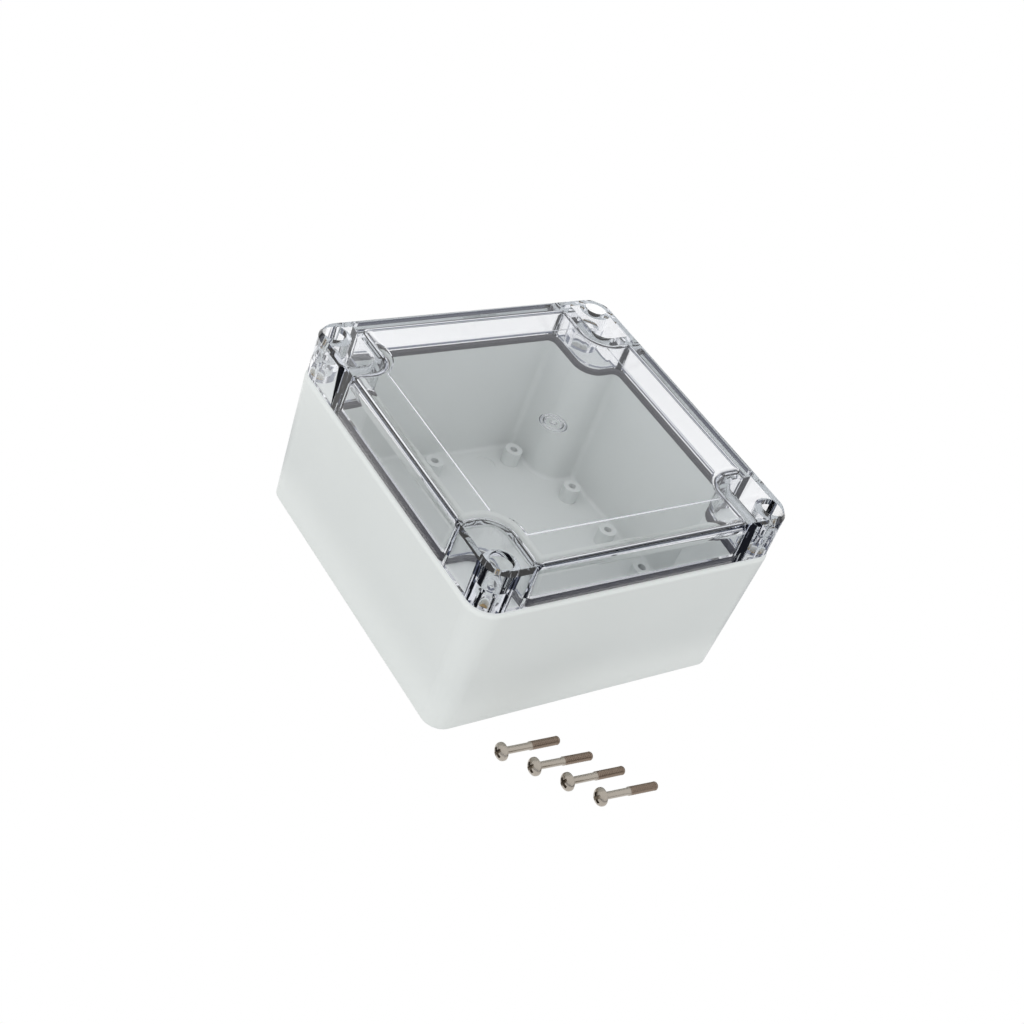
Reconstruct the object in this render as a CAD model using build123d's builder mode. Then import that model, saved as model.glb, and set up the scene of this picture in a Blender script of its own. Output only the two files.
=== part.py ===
from build123d import *
import math
import os

# Square sealed enclosure: a drafted base, a clear lid laid on its gasket, and four loose lid screws.
# Millimetres, +Z up, origin at the centre of the base's underside, +Y away from the front.

# Base
outer_width = 120.0
base_height = 52.5
wall_draft = 2.0
corner_radius = 8.5
rim_round = 1.5
foot_round = 0.6
rim_width = 3.4
floor_thickness = 4.0
cavity_draft = 1.0
floor_round = 1.5

# Corner columns, longer along Y than along X
column_width = 18.0
column_length = 25.2
column_round = 8.0
column_foot_round = 2.5

# Lid screw holes in the columns, and their brass inserts
screw_inset = 6.4
insert_diameter = 4.8
insert_length = 8.0
insert_bore = 2.5
insert_sink = 2.0
insert_groove_width = 1.2
insert_groove_depth = 0.35
screw_hole_diameter = 3.6
screw_hole_depth = 17.0

# Blind holes in the underside for add-on feet
foot_spacing_x = 105.0
foot_spacing_y = 86.0
foot_hole_diameter = 3.2
foot_hole_depth = 12.0

# Pockets cored out of the columns from below
column_wall = 2.4
column_roof = 6.0
pocket_round = 1.5
boss_wall = 2.0

# Board standoffs on the floor
standoff_diameter = 6.6
standoff_height = 6.0
standoff_hole_diameter = 2.8
standoff_hole_depth = 7.0
end_row_x = 35.0
end_row_y = 47.0
side_row_x = 47.0
side_row_y = 24.0

# Ejector marks in the floor
ejector_diameter = 8.0
ejector_depth = 0.25
ejector_x = 24.5
ejector_y = 47.8

# Lid: walls lean in between four upright lugs, which are hollow from below
joint_gap = 0.8
lid_height = 16.2
lid_margin = 0.5
lid_wall_lean = 1.2
lug_draft = 0.5
lug_width = 16.5
lug_length = 23.5
lug_end_slope = 65.0
lug_bevel_height = 1.6
cut_overrun = 1.0
top_plate = 2.8
lid_draft = 1.0
lid_inner_round = 3.0
panel_width = 90.0
panel_depth = 0.6
panel_margin = 0.1
panel_edge_slope = 29.0
head_well_diameter = 8.0
head_well_depth = 9.2
clamp_thickness = 2.4
lid_hole_diameter = 3.4
core_diameter = 4.6
lug_wall = 2.2
lug_column_wall = 2.6
well_wall = 1.6

# Gasket: a tall strip in a rebate of the lid, standing on the base's rim
gasket_width = 1.6
gasket_height = 3.5
gasket_side_gap = 0.1

# Lid screws: pan head, part threaded
head_diameter = 6.0
head_height = 2.4
head_rim_height = 0.9
screw_length = 22.0
shank_diameter = 2.45
shank_length = 10.5
thread_diameter = 2.95
tip_length = 0.8
tip_diameter = 1.8
recess_width = 0.9
recess_span = 3.4
recess_depth = 1.4
recess_draft = 8.0

# Where the loose screws lie in front of the base, heads on the left
first_head_x = -41.0
first_head_y = -73.0
next_head_x = 7.3
next_head_y = -8.43
screw_headings = (-1.0, -2.0, -1.7, -2.5)

# Values worked out from those above
half = outer_width / 2
foot_width = outer_width - 2 * base_height * math.tan(math.radians(wall_draft))
foot_radius = corner_radius - (outer_width - foot_width) / 2
cavity_half = half - rim_width
column_x = half - column_width
column_y = half - column_length
lid_bottom = base_height + joint_gap
lid_top = lid_bottom + lid_height
lid_half = half - lid_margin
lid_radius = corner_radius - lid_margin
ceiling = lid_top - top_plate
gasket_top = base_height + gasket_height
rebate_margin = gasket_width + 2 * gasket_side_gap
screw_at = half - screw_inset
screw_seat = lid_top - head_well_depth
dome_rise = head_height - head_rim_height
dome_radius = (dome_rise**2 + (head_diameter / 2) ** 2) / (2 * dome_rise)
corners = [(x, y) for x in (-1, 1) for y in (-1, 1)]
screw_points = [(x * screw_at, y * screw_at) for x, y in corners]
foot_points = [(x * foot_spacing_x / 2, y * foot_spacing_y / 2) for x, y in corners]


def cavity_outline(level, margin=0.0):
    """The inside outline, which steps in around the four columns, grown by a margin."""
    with BuildSketch(Plane.XY.offset(level)) as outline:
        Rectangle(2 * cavity_half, 2 * cavity_half)
        with Locations(*[(x * half, y * half) for x, y in corners]):
            Rectangle(2 * column_width, 2 * column_length, mode=Mode.SUBTRACT)
        inner = outline.vertices().filter_by(lambda v: max(abs(v.X), abs(v.Y)) < cavity_half - 0.01)
        fillet(inner, radius=column_round)
        at_wall = outline.vertices().filter_by(
            lambda v: min(abs(abs(v.X) - column_x), abs(abs(v.Y) - column_y)) < 0.01
            and max(abs(v.X), abs(v.Y)) > cavity_half - 0.01
        )
        fillet(at_wall, radius=column_foot_round)
        if margin:
            offset(amount=margin)
    return outline.sketch


def pocket_outline(level, outer, wall, inner_round):
    """One pocket behind each column's wall, reaching out to a given distance from the centre."""
    width = outer - column_x - wall
    length = outer - column_y - wall
    with BuildSketch(Plane.XY.offset(level)) as outline:
        with Locations(*[(x * (outer - width / 2), y * (outer - length / 2)) for x, y in corners]):
            Rectangle(width, length)
        inner = outline.vertices().filter_by(lambda v: max(abs(v.X), abs(v.Y)) < outer - 0.01)
        fillet(inner, radius=inner_round)
    return outline.sketch


# Base: drafted box with a rounded rim, cavity, columns and standoffs
with BuildPart() as base:
    with BuildSketch():
        RectangleRounded(foot_width, foot_width, foot_radius)
    extrude(amount=base_height, taper=-wall_draft)
    fillet(base.edges().group_by(Axis.Z)[-1], radius=rim_round)
    fillet(base.edges().group_by(Axis.Z)[0], radius=foot_round)
    extrude(
        cavity_outline(base_height),
        amount=base_height - floor_thickness,
        dir=(0, 0, -1),
        taper=cavity_draft,
        mode=Mode.SUBTRACT,
    )
    floor_edges = base.edges().filter_by_position(Axis.Z, floor_thickness - 0.01, floor_thickness + 0.01)
    fillet(floor_edges, radius=floor_round)
    standoff_points = [(x * end_row_x, y * end_row_y) for x, y in corners]
    standoff_points += [(x * side_row_x, y * side_row_y) for x, y in corners]
    standoff_points += [(0, end_row_y), (0, -end_row_y), (side_row_x, 0), (-side_row_x, 0)]
    with BuildSketch(Plane.XY.offset(floor_thickness)):
        with Locations(*standoff_points):
            Circle(standoff_diameter / 2)
    extrude(amount=standoff_height)
    with Locations(*[(x, y, floor_thickness + standoff_height) for x, y in standoff_points]):
        Hole(standoff_hole_diameter / 2, depth=standoff_hole_depth)
    with BuildSketch(Plane.XY.offset(floor_thickness)):
        with Locations(*[(x * ejector_x, y * ejector_y) for x, y in corners]):
            Circle(ejector_diameter / 2)
    extrude(amount=-ejector_depth, mode=Mode.SUBTRACT)
    with BuildSketch():
        add(pocket_outline(0, foot_width / 2 - rim_width, column_wall + rim_width / 2, pocket_round))
        with Locations(*screw_points):
            Circle(screw_hole_diameter / 2 + boss_wall, mode=Mode.SUBTRACT)
        with Locations(*foot_points):
            Circle(foot_hole_diameter / 2 + boss_wall, mode=Mode.SUBTRACT)
    extrude(amount=base_height - column_roof, mode=Mode.SUBTRACT)
    with Locations(*[(x, y, base_height) for x, y in screw_points]):
        Hole(insert_diameter / 2, depth=insert_length + insert_sink)
        Hole(screw_hole_diameter / 2, depth=screw_hole_depth)
    with BuildSketch():
        with Locations(*foot_points):
            Circle(foot_hole_diameter / 2)
    extrude(amount=foot_hole_depth, mode=Mode.SUBTRACT)
base.part.label = "base"

# Lid: upright block with bevelled top, cut back between the lugs to leaning walls
with BuildPart() as lid:
    with BuildSketch(Plane.XY.offset(lid_bottom)):
        RectangleRounded(2 * lid_half, 2 * lid_half, lid_radius)
    extrude(amount=lid_height, taper=lug_draft)
    lug_inset = lid_wall_lean - lid_height * math.tan(math.radians(lug_draft))
    top_face = lid.faces().sort_by(Axis.Z)[-1]
    chamfer(top_face.edges(), length=lug_inset, length2=lug_bevel_height, reference=top_face)
    lean_angle = math.degrees(math.atan(lid_wall_lean / (lid_height + cut_overrun)))
    slope = math.tan(math.radians(lug_end_slope))
    for turn in range(4):
        reach = half - (lug_length if turn % 2 == 0 else lug_width)
        out = 3 * lid_wall_lean
        with BuildSketch(Plane.XY.offset(lid_bottom - cut_overrun).rotated((0, 0, 90 * turn))):
            with BuildLine():
                Polyline(
                    (lid_half, -reach),
                    (lid_half + out, -reach - slope * out),
                    (lid_half + out, reach + slope * out),
                    (lid_half, reach),
                    close=True,
                )
            make_face()
        extrude(amount=lid_height + 2 * cut_overrun, taper=-lean_angle, mode=Mode.SUBTRACT)
    extrude(cavity_outline(lid_bottom), amount=ceiling - lid_bottom, taper=lid_draft, mode=Mode.SUBTRACT)
    roof_edges = lid.edges().filter_by_position(Axis.Z, ceiling - 0.01, ceiling + 0.01)
    fillet(roof_edges, radius=lid_inner_round)
    extrude(cavity_outline(lid_bottom, rebate_margin), amount=gasket_top - lid_bottom, mode=Mode.SUBTRACT)
    with BuildSketch(Plane.XY.offset(ceiling)):
        add(cavity_outline(ceiling, -lid_inner_round - panel_margin))
        Rectangle(panel_width, panel_width, mode=Mode.INTERSECT)
    extrude(amount=panel_depth, taper=panel_edge_slope, mode=Mode.SUBTRACT)
    with BuildSketch(Plane.XY.offset(lid_bottom)):
        add(pocket_outline(lid_bottom, lid_half - lug_wall, lug_column_wall, column_round - lug_column_wall))
        with Locations(*screw_points):
            Circle(head_well_diameter / 2 + well_wall, mode=Mode.SUBTRACT)
    extrude(amount=ceiling - lid_bottom, taper=lid_draft, mode=Mode.SUBTRACT)
    with BuildSketch(Plane.XY.offset(lid_bottom)):
        with Locations(*screw_points):
            Circle(core_diameter / 2)
    extrude(amount=screw_seat - clamp_thickness - lid_bottom, mode=Mode.SUBTRACT)
    with Locations(*[(x, y, lid_top) for x, y in screw_points]):
        CounterBoreHole(lid_hole_diameter / 2, head_well_diameter / 2, counter_bore_depth=head_well_depth)
lid.part.label = "lid"

# Gasket: a closed strip that follows the cavity and passes inside the four columns
with BuildPart() as gasket:
    extrude(cavity_outline(base_height, gasket_side_gap + gasket_width), amount=gasket_height)
    extrude(cavity_outline(base_height, gasket_side_gap), amount=gasket_height, mode=Mode.SUBTRACT)
gasket.part.label = "gasket"


def thread_insert(number, x, y):
    """A brass insert with a groove round its middle, pressed into its column well below the rim."""
    top = base_height - insert_sink
    with BuildPart() as insert:
        with BuildSketch(Plane.XZ.offset(-y)):
            with Locations((x, top)):
                Rectangle(insert_diameter / 2, insert_length, align=(Align.MIN, Align.MAX))
                Rectangle(insert_bore / 2, insert_length, align=(Align.MIN, Align.MAX), mode=Mode.SUBTRACT)
            with Locations((x + insert_diameter / 2, top - insert_length / 2)):
                Rectangle(2 * insert_groove_depth, insert_groove_width, mode=Mode.SUBTRACT)
        revolve(axis=Axis((x, y, 0), (0, 0, 1)))
    insert.part.label = f"thread_insert_{number}"
    return insert.part


def lid_screw(number, x, y, heading):
    """A screw lying on its head's rim and the end of its thread."""
    thread_end = screw_length - tip_length
    dip = math.atan((head_diameter - thread_diameter) / 2 / thread_end)
    level = head_diameter / 2 * math.cos(dip)
    turn = math.radians(heading)
    along = (math.cos(turn) * math.cos(dip), math.sin(turn) * math.cos(dip), -math.sin(dip))
    side = (-math.sin(turn), math.cos(turn), 0)
    lying = Plane(origin=(x, y, level), x_dir=along, z_dir=side)
    with BuildPart() as screw:
        with BuildSketch(lying):
            with BuildLine():
                Polyline(
                    (-head_height, 0),
                    (screw_length, 0),
                    (screw_length, tip_diameter / 2),
                    (thread_end, thread_diameter / 2),
                    (shank_length, thread_diameter / 2),
                    (shank_length, shank_diameter / 2),
                    (0, shank_diameter / 2),
                    (0, head_diameter / 2),
                    (-head_rim_height, head_diameter / 2),
                )
                RadiusArc((-head_rim_height, head_diameter / 2), (-head_height, 0), -dome_radius)
            make_face()
        revolve(axis=Axis(lying.origin, lying.x_dir))
        with BuildSketch(Plane(origin=lying.origin - lying.x_dir * head_height, x_dir=side, z_dir=along)):
            Rectangle(recess_span, recess_width)
            Rectangle(recess_width, recess_span)
        extrude(amount=recess_depth, taper=recess_draft, mode=Mode.SUBTRACT)
    screw.part.label = f"lid_screw_{number}"
    return screw.part


pieces = [base.part, lid.part, gasket.part]
for number, (x, y) in enumerate(screw_points, start=1):
    pieces.append(thread_insert(number, x, y))
for number, heading in enumerate(screw_headings, start=1):
    x = first_head_x + (number - 1) * next_head_x
    y = first_head_y + (number - 1) * next_head_y
    pieces.append(lid_screw(number, x, y, heading))

os.makedirs("parts", exist_ok=True)
for piece in pieces:
    export_step(piece, f"parts/{piece.label}.step")
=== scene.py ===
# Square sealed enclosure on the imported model: finishes, gate mark, pressed gasket, threaded screws,
# and the studio that it stands in.
import math

import bmesh
import bpy
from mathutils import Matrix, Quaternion, Vector


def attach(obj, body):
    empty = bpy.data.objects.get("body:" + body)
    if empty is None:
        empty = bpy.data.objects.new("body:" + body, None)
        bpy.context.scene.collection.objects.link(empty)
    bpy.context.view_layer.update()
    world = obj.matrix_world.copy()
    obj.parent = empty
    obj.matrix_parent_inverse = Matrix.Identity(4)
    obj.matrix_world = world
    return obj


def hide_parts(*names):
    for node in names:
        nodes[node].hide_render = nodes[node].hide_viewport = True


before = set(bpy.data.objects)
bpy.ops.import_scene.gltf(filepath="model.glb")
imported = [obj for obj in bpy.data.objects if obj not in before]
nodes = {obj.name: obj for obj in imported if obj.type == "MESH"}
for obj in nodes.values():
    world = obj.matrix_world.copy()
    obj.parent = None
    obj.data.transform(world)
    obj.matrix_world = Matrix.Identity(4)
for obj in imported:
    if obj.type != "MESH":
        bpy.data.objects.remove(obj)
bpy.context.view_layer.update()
scene = bpy.context.scene
scene.view_settings.view_transform = "Standard"

MM = 0.001

# Base: one injection moulding of light grey opaque polycarbonate, with its four columns, its
# standoffs and blind holes for add-on feet. The mould is spark eroded, so the skin has a fine
# satin grain, and the tone drifts a little where the melt has flowed
drift_scale = 22
grain_relief = 0.08 * MM
grain = bpy.data.node_groups.new("mould_grain", "ShaderNodeTree")
for name in ("Scale", "Depth", "Smooth", "Matt"):
    grain.interface.new_socket(name, in_out="INPUT", socket_type="NodeSocketFloat")
for name in ("Tone", "Roughness"):
    grain.interface.new_socket(name, in_out="OUTPUT", socket_type="NodeSocketFloat")
grain.interface.new_socket("Normal", in_out="OUTPUT", socket_type="NodeSocketVector")
add, link = grain.nodes.new, grain.links.new
given = add("NodeGroupInput").outputs
result = add("NodeGroupOutput").inputs
place = add("ShaderNodeTexCoord").outputs["Object"]
fine = add("ShaderNodeTexNoise")
fine.inputs["Detail"].default_value = 3
drift = add("ShaderNodeTexNoise")
drift.inputs["Scale"].default_value = drift_scale
bump = add("ShaderNodeBump")
bump.inputs["Distance"].default_value = grain_relief
shine = add("ShaderNodeMapRange")
link(place, fine.inputs["Vector"])
link(place, drift.inputs["Vector"])
link(given["Scale"], fine.inputs["Scale"])
link(given["Depth"], bump.inputs["Strength"])
link(fine.outputs["Fac"], bump.inputs["Height"])
link(drift.outputs["Fac"], shine.inputs["Value"])
link(given["Smooth"], shine.inputs["To Min"])
link(given["Matt"], shine.inputs["To Max"])
link(drift.outputs["Fac"], result["Tone"])
link(shine.outputs["Result"], result["Roughness"])
link(bump.outputs["Normal"], result["Normal"])


def grained_skin(material, scale, depth, smooth, matt, darker, lighter):
    """Lay the mould's grain and a drifting tone over a material, and give back its shader."""
    material.use_nodes = True
    add, link = material.node_tree.nodes.new, material.node_tree.links.new
    shader = material.node_tree.nodes["Principled BSDF"]
    texture = add("ShaderNodeGroup")
    texture.node_tree = grain
    for name, value in (("Scale", scale), ("Depth", depth), ("Smooth", smooth), ("Matt", matt)):
        texture.inputs[name].default_value = value
    tone = add("ShaderNodeMix")
    tone.data_type = "RGBA"
    tone.inputs["A"].default_value = (*darker, 1)
    tone.inputs["B"].default_value = (*lighter, 1)
    link(texture.outputs["Tone"], tone.inputs["Factor"])
    link(texture.outputs["Roughness"], shader.inputs["Roughness"])
    link(tone.outputs["Result"], shader.inputs["Base Color"])
    link(texture.outputs["Normal"], shader.inputs["Normal"])
    return shader


grey = bpy.data.materials.new("grey_polycarbonate")
shader = grained_skin(
    grey,
    scale=2600,
    depth=0.12,
    smooth=0.36,
    matt=0.46,
    darker=(0.655, 0.685, 0.672),
    lighter=(0.690, 0.715, 0.705),
)
shader.inputs["IOR"].default_value = 1.5
nodes["base"].data.materials.clear()
nodes["base"].data.materials.append(grey)

# Lid: one moulding of clear polycarbonate from a polished mould. Thin walls look colourless, and
# long ways through the plate and the lugs look grey blue, because the plastic takes up a little
# light. Shadows and the light inside the box pass through it
clear = bpy.data.materials.new("clear_polycarbonate")
clear.use_nodes = True
add, link = clear.node_tree.nodes.new, clear.node_tree.links.new
shader = clear.node_tree.nodes["Principled BSDF"]
shader.inputs["Base Color"].default_value = (1, 1, 1, 1)
shader.inputs["Transmission Weight"].default_value = 1
shader.inputs["Roughness"].default_value = 0.012
shader.inputs["IOR"].default_value = 1.586
path = add("ShaderNodeLightPath").outputs
lighting = add("ShaderNodeMath")
lighting.operation = "MAXIMUM"
passing = add("ShaderNodeBsdfTransparent")
passing.inputs["Color"].default_value = (0.99, 0.99, 0.99, 1)
either = add("ShaderNodeMixShader")
link(path["Is Shadow Ray"], lighting.inputs[0])
link(path["Is Diffuse Ray"], lighting.inputs[1])
link(lighting.outputs[0], either.inputs["Fac"])
link(shader.outputs["BSDF"], either.inputs[1])
link(passing.outputs["BSDF"], either.inputs[2])
body_tint = add("ShaderNodeVolumeAbsorption")
body_tint.inputs["Color"].default_value = (0.55, 0.60, 0.72, 1)
body_tint.inputs["Density"].default_value = 26
surface = clear.node_tree.nodes["Material Output"].inputs
link(either.outputs["Shader"], surface["Surface"])
link(body_tint.outputs["Volume"], surface["Volume"])
nodes["lid"].data.materials.clear()
nodes["lid"].data.materials.append(clear)

# Gate mark: where the melt entered the lid's mould, two fine rings and a small raised eye stand
# on the underside at the middle of the plate, in the same clear plastic. Each is a round bead
# with soft flanks, a hair's breadth clear of the plate so that no two faces lie in one plane
mark_beads = ((4.3, 0.55), (3.05, 0.55), (0.75, 0.6))
bead_height = 0.34
plate_underside = 67.3
seat_gap = 0.01
steps_round, steps_across = 96, 10
flat_facing, level_slack = 0.999, 0.00001
bead_top = plate_underside - seat_gap
work = bmesh.new()
for ring_radius, half_width in mark_beads:
    rows = []
    for step in range(steps_round):
        turn = math.tau * step / steps_round
        row = []
        for across in range(steps_across + 1):
            out = 2 * across / steps_across - 1
            reach = ring_radius + half_width * out
            height = bead_top - bead_height * (1 + math.cos(math.pi * out)) / 2
            x, y = reach * math.cos(turn), reach * math.sin(turn)
            row.append(work.verts.new((x * MM, y * MM, height * MM)))
        rows.append(row)
    for step in range(steps_round):
        here, there = rows[step], rows[(step + 1) % steps_round]
        for across in range(steps_across):
            work.faces.new((here[across], here[across + 1], there[across + 1], there[across]))
        work.faces.new((here[-1], here[0], there[0], there[-1]))
bmesh.ops.recalc_face_normals(work, faces=work.faces)
for face in work.faces:
    face.smooth = face.normal.z < flat_facing
mark = bpy.data.meshes.new("gate_mark")
work.to_mesh(mark)
work.free()
for edge in mark.edges:
    lowest = min(mark.vertices[corner].co.z for corner in edge.vertices)
    edge.use_edge_sharp = lowest > (bead_top - level_slack) * MM
mark.materials.append(clear)
gate = bpy.data.objects.new("gate_mark", mark)
scene.collection.objects.link(gate)
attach(gate, "lid")

# Gasket: a closed strip of dark foam rubber on the base's rim, with the open, slightly dusty skin
# of foamed rubber. With the lid screwed down it is pressed to under half of its free height, so
# the strip is shown lower than the part's, and the lid's rebate is open above it
pressed_top = 54.1
rubber = bpy.data.materials.new("gasket_rubber")
shader = grained_skin(
    rubber,
    scale=3500,
    depth=0.5,
    smooth=0.6,
    matt=0.8,
    darker=(0.050, 0.049, 0.054),
    lighter=(0.066, 0.064, 0.070),
)
shader.inputs["Specular IOR Level"].default_value = 0.4
work = bmesh.new()
work.from_mesh(nodes["gasket"].data)
bmesh.ops.remove_doubles(work, verts=work.verts, dist=0.001 * MM)
for corner in work.verts:
    corner.co.z = min(corner.co.z, pressed_top * MM)
strip = bpy.data.meshes.new("pressed_gasket")
work.to_mesh(strip)
work.free()
strip.materials.clear()
strip.materials.append(rubber)
pressed = bpy.data.objects.new("pressed_gasket", strip)
scene.collection.objects.link(pressed)
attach(pressed, "lid")
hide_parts("gasket")

# Thread inserts: turned from brass bar and pressed hot into the four columns, well below the
# rim, with the dull gold of brass that has been heated
brass = bpy.data.materials.new("insert_brass")
shader = grained_skin(
    brass,
    scale=4000,
    depth=0.3,
    smooth=0.24,
    matt=0.4,
    darker=(0.62, 0.40, 0.15),
    lighter=(0.74, 0.52, 0.22),
)
shader.inputs["Metallic"].default_value = 1
for number in range(1, 5):
    nodes[f"thread_insert_{number}"].data.materials.clear()
    nodes[f"thread_insert_{number}"].data.materials.append(brass)

# Lid screws: pan head with a cross recess, plain shank and rolled thread, in nickel-plated steel
# with painted groove shade, darker and browner, on the thread. They lie loose in front of the box,
# on the head's rim and the thread's end. The profile is turned, its thread follows a helix, and
# the cross is cut in
head_radius, head_height, head_rim = 3.0, 2.4, 0.9
shank_radius, shank_end, thread_start, thread_radius = 1.225, 9.7, 10.5, 1.475
screw_length, tip_length = 22.0, 0.8
thread_pitch, thread_depth, rings_per_turn = 0.7, 0.42, 10
thread_run_in, thread_run_out = 12, 24
first_x, first_y, step_x, step_y = -41.0, -73.0, 7.3, -8.43
headings_and_rolls = ((-1.0, 20), (-2.0, 24), (-1.7, 15), (-2.5, 31))
thread_shade_from, thread_shade_to = thread_start - 0.3, thread_start + 0.5
recess_stand_out, crisp_angle = 0.03, 0.6
thread_end = screw_length - tip_length
thread_length = thread_end - thread_start
dome_share, dome_rings = 0.93, 12
dome_rise = head_height - head_rim
dome_radius = (dome_rise**2 + head_radius**2) / (2 * dome_rise)
dome_reach = dome_share * math.asin(head_radius / dome_radius)

stations = []
for step in range(dome_rings + 1):
    lean = dome_reach * step / dome_rings
    stations.append((dome_radius * (1 - math.cos(lean)) - head_height, dome_radius * math.sin(lean), 0))
for along, inset in ((-1.0, 0.11), (-0.82, 0.03), (-0.6, 0), (-0.12, 0), (-0.04, 0.03), (0, 0.12)):
    stations.append((along, head_radius - inset, 0))
for along, radius in ((0, 1.6), (0.06, 1.4), (0.3, shank_radius), (shank_end, shank_radius), (10.1, 1.3)):
    stations.append((along, radius, 0))
rings = round(thread_length / thread_pitch * rings_per_turn)
for step in range(rings + 1):
    share = step / rings
    full = min(1, share * thread_run_in, (1 - share) * thread_run_out)
    stations.append((thread_start + thread_length * share, thread_radius, full))
for along, radius in ((21.45, 1.4), (21.7, 1.24), (21.9, 1.0), (screw_length, 0.75), (screw_length, 0)):
    stations.append((along, radius, 0))

profile = bpy.data.meshes.new("screw_profile")
edges = [(step, step + 1) for step in range(len(stations) - 1)]
profile.from_pydata([(along * MM, radius * MM, 0) for along, radius, full in stations], edges, [])
cut_share = profile.attributes.new("cut", "FLOAT", "POINT")
cut_share.data.foreach_set("value", [full for along, radius, full in stations])

turned = bpy.data.node_groups.new("turned_screw", "GeometryNodeTree")
turned.interface.new_socket("Geometry", in_out="INPUT", socket_type="NodeSocketGeometry")
socket = {}
for name, kind, value in (
    ("Sides", "NodeSocketInt", 32),
    ("Thread Pitch", "NodeSocketFloat", thread_pitch * MM),
    ("Thread Depth", "NodeSocketFloat", thread_depth * MM),
    ("Recess Span", "NodeSocketFloat", 3.9 * MM),
    ("Recess Width", "NodeSocketFloat", 1.2 * MM),
    ("Recess Depth", "NodeSocketFloat", 1.8 * MM),
    ("Head Height", "NodeSocketFloat", head_height * MM),
    ("Lean", "NodeSocketVector", (0, 0, 0)),
    ("Place", "NodeSocketVector", (0, 0, 0)),
    ("Roll", "NodeSocketVector", (0, 0, 0)),
    ("Material", "NodeSocketMaterial", None),
):
    socket[name] = turned.interface.new_socket(name, in_out="INPUT", socket_type=kind)
    if value is not None:
        socket[name].default_value = value
turned.interface.new_socket("Geometry", in_out="OUTPUT", socket_type="NodeSocketGeometry")
add, link = turned.nodes.new, turned.links.new
given = add("NodeGroupInput").outputs
result = add("NodeGroupOutput").inputs


def reckon(operation, first, second=None):
    """One step of arithmetic in the tree that is being built."""
    step = add("ShaderNodeMath")
    step.operation = operation
    for spot, value in zip(step.inputs, (first, second)):
        if isinstance(value, (int, float)):
            spot.default_value = value
        elif value is not None:
            link(value, spot)
    return step.outputs[0]


count = add("GeometryNodeAttributeDomainSize")
link(given["Geometry"], count.inputs["Geometry"])
across = reckon("ADD", given["Sides"], 1)
sheet = add("GeometryNodeMeshGrid")
link(count.outputs["Point Count"], sheet.inputs["Vertices X"])
link(across, sheet.inputs["Vertices Y"])
index = add("GeometryNodeInputIndex").outputs[0]
station = reckon("FLOOR", reckon("DIVIDE", reckon("ADD", index, 0.5), across))
turn = reckon("DIVIDE", reckon("SUBTRACT", index, reckon("MULTIPLY", station, across)), given["Sides"])
outline = add("GeometryNodeSampleIndex")
outline.data_type = "FLOAT_VECTOR"
link(given["Geometry"], outline.inputs["Geometry"])
link(add("GeometryNodeInputPosition").outputs[0], outline.inputs["Value"])
link(station, outline.inputs["Index"])
stored = add("GeometryNodeInputNamedAttribute")
stored.data_type = "FLOAT"
stored.inputs["Name"].default_value = "cut"
cut = add("GeometryNodeSampleIndex")
cut.data_type = "FLOAT"
link(given["Geometry"], cut.inputs["Geometry"])
link(stored.outputs["Attribute"], cut.inputs["Value"])
link(station, cut.inputs["Index"])
drawn = add("ShaderNodeSeparateXYZ")
link(outline.outputs[0], drawn.inputs[0])
phase = reckon("FRACT", reckon("SUBTRACT", reckon("DIVIDE", drawn.outputs["X"], given["Thread Pitch"]), turn))
groove = reckon("SUBTRACT", 1, reckon("ABSOLUTE", reckon("SUBTRACT", reckon("MULTIPLY", phase, 2), 1)))
cut_in = reckon("MULTIPLY", reckon("MULTIPLY", groove, cut.outputs[0]), given["Thread Depth"])
radius = reckon("SUBTRACT", drawn.outputs["Y"], cut_in)
angle = reckon("MULTIPLY", turn, math.tau)
spot = add("ShaderNodeCombineXYZ")
link(drawn.outputs["X"], spot.inputs["X"])
link(reckon("MULTIPLY", radius, reckon("COSINE", angle)), spot.inputs["Y"])
link(reckon("MULTIPLY", radius, reckon("SINE", angle)), spot.inputs["Z"])
wrap = add("GeometryNodeSetPosition")
link(sheet.outputs["Mesh"], wrap.inputs["Geometry"])
link(spot.outputs[0], wrap.inputs["Position"])
weld = add("GeometryNodeMergeByDistance")
weld.inputs["Distance"].default_value = 0.001 * MM
link(wrap.outputs[0], weld.inputs["Geometry"])

wedge = add("GeometryNodeMeshCone")
wedge.inputs["Vertices"].default_value = 4
wedge.inputs["Radius Top"].default_value = 0.5
wedge.inputs["Radius Bottom"].default_value = math.sqrt(0.5)
link(given["Recess Depth"], wedge.inputs["Depth"])
square = add("GeometryNodeTransform")
square.inputs["Rotation"].default_value = (0, 0, math.radians(45))
link(wedge.outputs["Mesh"], square.inputs["Geometry"])
sunk = add("ShaderNodeCombineXYZ")
link(reckon("SUBTRACT", -recess_stand_out * MM, given["Head Height"]), sunk.inputs["X"])
cross = add("GeometryNodeMeshBoolean")
cross.operation = "DIFFERENCE"
cross.solver = "EXACT"
link(weld.outputs[0], cross.inputs["Mesh 1"])
for span, width in (("Recess Span", "Recess Width"), ("Recess Width", "Recess Span")):
    size = add("ShaderNodeCombineXYZ")
    size.inputs["Z"].default_value = 1
    link(given[span], size.inputs["X"])
    link(given[width], size.inputs["Y"])
    blade = add("GeometryNodeTransform")
    blade.inputs["Rotation"].default_value = (0, math.radians(90), 0)
    link(size.outputs[0], blade.inputs["Scale"])
    link(sunk.outputs[0], blade.inputs["Translation"])
    link(square.outputs[0], blade.inputs["Geometry"])
    link(blade.outputs[0], cross.inputs["Mesh 2"])

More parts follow.
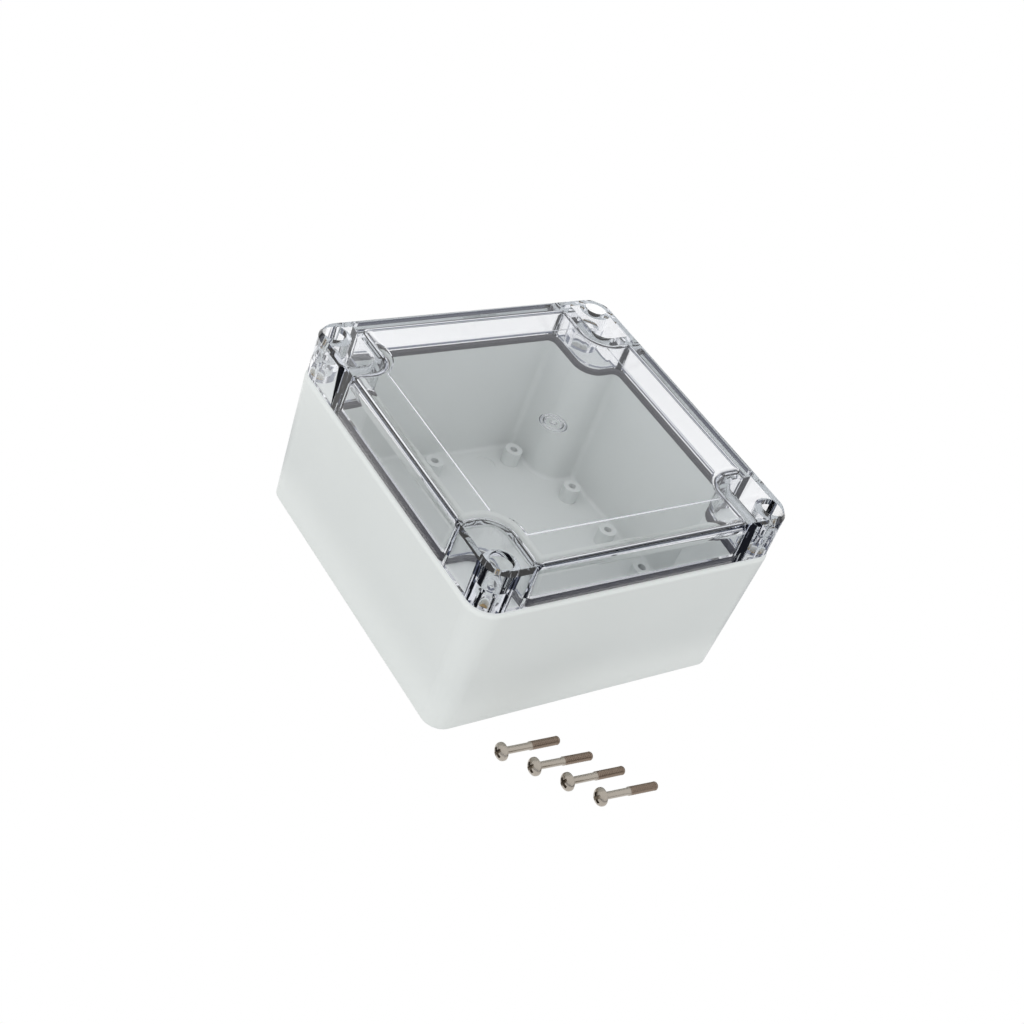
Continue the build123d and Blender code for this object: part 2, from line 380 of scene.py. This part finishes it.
smooth = add("GeometryNodeSetShadeSmooth")
link(cross.outputs[0], smooth.inputs["Geometry"])
bend = add("GeometryNodeInputMeshEdgeAngle")
crisp = add("GeometryNodeSetShadeSmooth")
crisp.domain = "EDGE"
crisp.inputs["Shade Smooth"].default_value = False
link(reckon("GREATER_THAN", bend.outputs["Unsigned Angle"], crisp_angle), crisp.inputs["Selection"])
link(smooth.outputs[0], crisp.inputs["Geometry"])
rolled = add("GeometryNodeTransform")
link(given["Roll"], rolled.inputs["Rotation"])
link(crisp.outputs[0], rolled.inputs["Geometry"])
laid = add("GeometryNodeTransform")
link(given["Lean"], laid.inputs["Rotation"])
link(given["Place"], laid.inputs["Translation"])
link(rolled.outputs[0], laid.inputs["Geometry"])
real = add("GeometryNodeRealizeInstances")
link(laid.outputs[0], real.inputs["Geometry"])
coat = add("GeometryNodeSetMaterial")
link(given["Material"], coat.inputs["Material"])
link(real.outputs[0], coat.inputs["Geometry"])
link(coat.outputs[0], result[0])

steel = bpy.data.materials.new("screw_steel")
shader = grained_skin(
    steel,
    scale=1800,
    depth=0.25,
    smooth=0.24,
    matt=0.4,
    darker=(0.38, 0.34, 0.29),
    lighter=(0.50, 0.46, 0.41),
)
shader.inputs["Metallic"].default_value = 1
add, link = steel.node_tree.nodes.new, steel.node_tree.links.new
axes = add("ShaderNodeSeparateXYZ")
link(add("ShaderNodeTexCoord").outputs["Object"], axes.inputs[0])
which = reckon("ROUND", reckon("DIVIDE", reckon("SUBTRACT", axes.outputs["Y"], first_y * MM), step_y * MM))
# mask of the threaded part, where the painted groove shade goes
threaded = add("ShaderNodeMapRange")
threaded.interpolation_type = "SMOOTHSTEP"
threaded.inputs["From Min"].default_value = (first_x + thread_shade_from) * MM
threaded.inputs["From Max"].default_value = (first_x + thread_shade_to) * MM
link(reckon("SUBTRACT", axes.outputs["X"], reckon("MULTIPLY", which, step_x * MM)), threaded.inputs["Value"])
plain = shader.inputs["Base Color"].links[0].from_socket
# painted shade: a darker, browner colour laid over the thread for the shade in its grooves
painted_thread_shade = add("ShaderNodeMix")
painted_thread_shade.data_type = "RGBA"
painted_thread_shade.inputs["B"].default_value = (0.25, 0.195, 0.155, 1)
link(threaded.outputs["Result"], painted_thread_shade.inputs["Factor"])
link(plain, painted_thread_shade.inputs["A"])
link(painted_thread_shade.outputs["Result"], shader.inputs["Base Color"])

dip = math.atan((head_radius - thread_radius) / thread_end)
for number, (heading, roll) in enumerate(headings_and_rolls, start=1):
    blank = bpy.data.objects.new(f"screw_blank_{number}", profile)
    scene.collection.objects.link(blank)
    turning = blank.modifiers.new("turning", "NODES")
    turning.node_group = turned
    x = first_x + step_x * (number - 1)
    y = first_y + step_y * (number - 1)
    turning[socket["Lean"].identifier] = (0, dip, math.radians(heading))
    turning[socket["Place"].identifier] = (x * MM, y * MM, head_radius * math.cos(dip) * MM)
    turning[socket["Roll"].identifier] = (math.radians(roll), 0, 0)
    turning[socket["Material"].identifier] = steel
    ready = blank.evaluated_get(bpy.context.evaluated_depsgraph_get())
    body = bpy.data.meshes.new_from_object(ready)
    bpy.data.objects.remove(blank)
    body.name = f"threaded_screw_{number}"
    screw = bpy.data.objects.new(f"threaded_screw_{number}", body)
    scene.collection.objects.link(screw)
    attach(screw, f"screw_{number}")
    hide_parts(f"lid_screw_{number}")

# Floor: white to the camera, and a pale matt sheet to the light. Plastic and metal show it bright
# far off, behind the box and within one to three centimetres of themselves. All round the box's
# foot and in front of it they show it dark: a painted shadow of the box, seen only in reflections and
# refractions
floor_drop = 0.4
foot_painted_shadow = (0.098, 0.108)
front_painted_shadow, front_slant = (-0.035, 0.05), 0.35
painted_shadow_end = (0.19, 0.23)
mirror_reach = (0.012, 0.03)
bpy.ops.mesh.primitive_plane_add(size=6)
floor = bpy.context.object
floor.name = "floor"
floor.location.z = -floor_drop * MM
paper = bpy.data.materials.new("floor_paper")
paper.use_nodes = True
add, link = paper.node_tree.nodes.new, paper.node_tree.links.new
paper.node_tree.nodes.remove(paper.node_tree.nodes["Principled BSDF"])


def fade(value, span):
    """A soft change from 0 to 1 over a span of a value."""
    step = add("ShaderNodeMapRange")
    step.interpolation_type = "SMOOTHSTEP"
    step.inputs["From Min"].default_value, step.inputs["From Max"].default_value = span
    link(value, step.inputs["Value"])
    return step.outputs["Result"]


axes = add("ShaderNodeSeparateXYZ")
link(add("ShaderNodeTexCoord").outputs["Object"], axes.inputs[0])
from_middle = reckon("MAXIMUM", reckon("ABSOLUTE", axes.outputs["X"]), reckon("ABSOLUTE", axes.outputs["Y"]))
backward = reckon("ADD", reckon("MULTIPLY", axes.outputs["X"], front_slant), axes.outputs["Y"])
# painted shadow mask: 0 round the box's foot and in front of it, 1 behind it
out_of_painted_shadow = reckon("MULTIPLY", fade(from_middle, foot_painted_shadow), fade(backward, front_painted_shadow))
path = add("ShaderNodeLightPath").outputs
close = add("ShaderNodeMapRange")
close.inputs["From Min"].default_value, close.inputs["From Max"].default_value = mirror_reach
close.inputs["To Min"].default_value = 0.95
close.inputs["To Max"].default_value = 0.0
link(path["Ray Length"], close.inputs["Value"])
bright = reckon("MAXIMUM", reckon("MAXIMUM", out_of_painted_shadow, fade(from_middle, painted_shadow_end)), close.outputs["Result"])
mirrored = add("ShaderNodeMix")
mirrored.data_type = "RGBA"
# the painted shadow's dark colour, and the bright floor beyond it
mirrored.inputs["A"].default_value = (0.09, 0.10, 0.14, 1)
mirrored.inputs["B"].default_value = (1.1, 1.1, 1.1, 1)
link(bright, mirrored.inputs["Factor"])
backdrop = add("ShaderNodeMix")
backdrop.data_type = "RGBA"
backdrop.inputs["B"].default_value = (1, 1, 1, 1)
link(path["Is Camera Ray"], backdrop.inputs["Factor"])
link(mirrored.outputs["Result"], backdrop.inputs["A"])
white = add("ShaderNodeEmission")
link(backdrop.outputs["Result"], white.inputs["Color"])
matt = add("ShaderNodeBsdfDiffuse")
matt.inputs["Color"].default_value = (0.9, 0.9, 0.9, 1)
shown = add("ShaderNodeMixShader")
sharp = reckon("MAXIMUM", path["Is Glossy Ray"], path["Is Transmission Ray"])
link(reckon("MAXIMUM", path["Is Camera Ray"], sharp), shown.inputs["Fac"])
link(matt.outputs[0], shown.inputs[1])
link(white.outputs[0], shown.inputs[2])
link(shown.outputs[0], paper.node_tree.nodes["Material Output"].inputs["Surface"])
floor.data.materials.append(paper)

# World: a studio with soft light, stronger from the left. What plastic and metal mirror of it is
# white all round, apart from the far side low above the table, which is dark, and dark higher up
# in what the lid refracts. The backdrop to the camera is white
world = bpy.data.worlds.new("studio")
scene.world = world
world.use_nodes = True
add, link = world.node_tree.nodes.new, world.node_tree.links.new
way = add("ShaderNodeTexCoord").outputs["Generated"]
left_side = add("ShaderNodeVectorMath")
left_side.operation = "DOT_PRODUCT"
left_side.inputs[1].default_value = (-0.88, -0.18, 0.44)
link(way, left_side.inputs[0])
soft = add("ShaderNodeMapRange")
soft.inputs["From Min"].default_value = -1
soft.inputs["From Max"].default_value = 1
soft.inputs["To Min"].default_value = 0.64
soft.inputs["To Max"].default_value = 1.30
link(left_side.outputs["Value"], soft.inputs["Value"])
near_side = add("ShaderNodeVectorMath")
near_side.operation = "DOT_PRODUCT"
near_side.inputs[1].default_value = (-0.43, -0.42, 0.80)
link(way, near_side.inputs[0])
path = add("ShaderNodeLightPath").outputs
room = add("ShaderNodeMapRange")
room.interpolation_type = "SMOOTHSTEP"
for end, mirrored_at, refracted_at in (("From Min", -0.34, 0.02), ("From Max", 0.0, 0.27)):
    raised = reckon("MULTIPLY", path["Is Transmission Ray"], refracted_at - mirrored_at)
    link(reckon("ADD", raised, mirrored_at), room.inputs[end])
link(near_side.outputs["Value"], room.inputs["Value"])
mirrored = add("ShaderNodeMix")
mirrored.data_type = "RGBA"
mirrored.inputs["A"].default_value = (0.16, 0.18, 0.24, 1)
mirrored.inputs["B"].default_value = (1, 1, 1, 1)
link(room.outputs["Result"], mirrored.inputs["Factor"])
shown = add("ShaderNodeMix")
shown.data_type = "RGBA"
link(reckon("MAXIMUM", path["Is Glossy Ray"], path["Is Transmission Ray"]), shown.inputs["Factor"])
link(soft.outputs["Result"], shown.inputs["A"])
link(mirrored.outputs["Result"], shown.inputs["B"])
backdrop = add("ShaderNodeMix")
backdrop.data_type = "RGBA"
backdrop.inputs["B"].default_value = (1, 1, 1, 1)
link(path["Is Camera Ray"], backdrop.inputs["Factor"])
link(shown.outputs["Result"], backdrop.inputs["A"])
link(backdrop.outputs["Result"], world.node_tree.nodes["Background"].inputs["Color"])

# Camera: fitted to the box's corners in the photograph, which is taken with the camera rolled
azimuth, elevation, roll = (math.radians(degrees) for degrees in (-45.986, 37.681, 22.338))
aim_height = 50.8
offset = Vector((-7.977, -15.774, 564.491))
lens_length, film_width = 60.516, 36
back = Vector(
    (
        math.sin(azimuth) * math.cos(elevation),
        -math.cos(azimuth) * math.cos(elevation),
        math.sin(elevation),
    )
)
camera = bpy.data.objects.new("camera", bpy.data.cameras.new("camera"))
scene.collection.objects.link(camera)
scene.camera = camera
camera.rotation_mode = "QUATERNION"
camera.rotation_quaternion = back.to_track_quat("Z", "Y") @ Quaternion((0, 0, 1), roll)
camera.location = camera.rotation_quaternion @ offset * MM
camera.location.z += aim_height * MM
camera.data.lens = lens_length
camera.data.sensor_width = film_width
camera.data.clip_start = 0.01
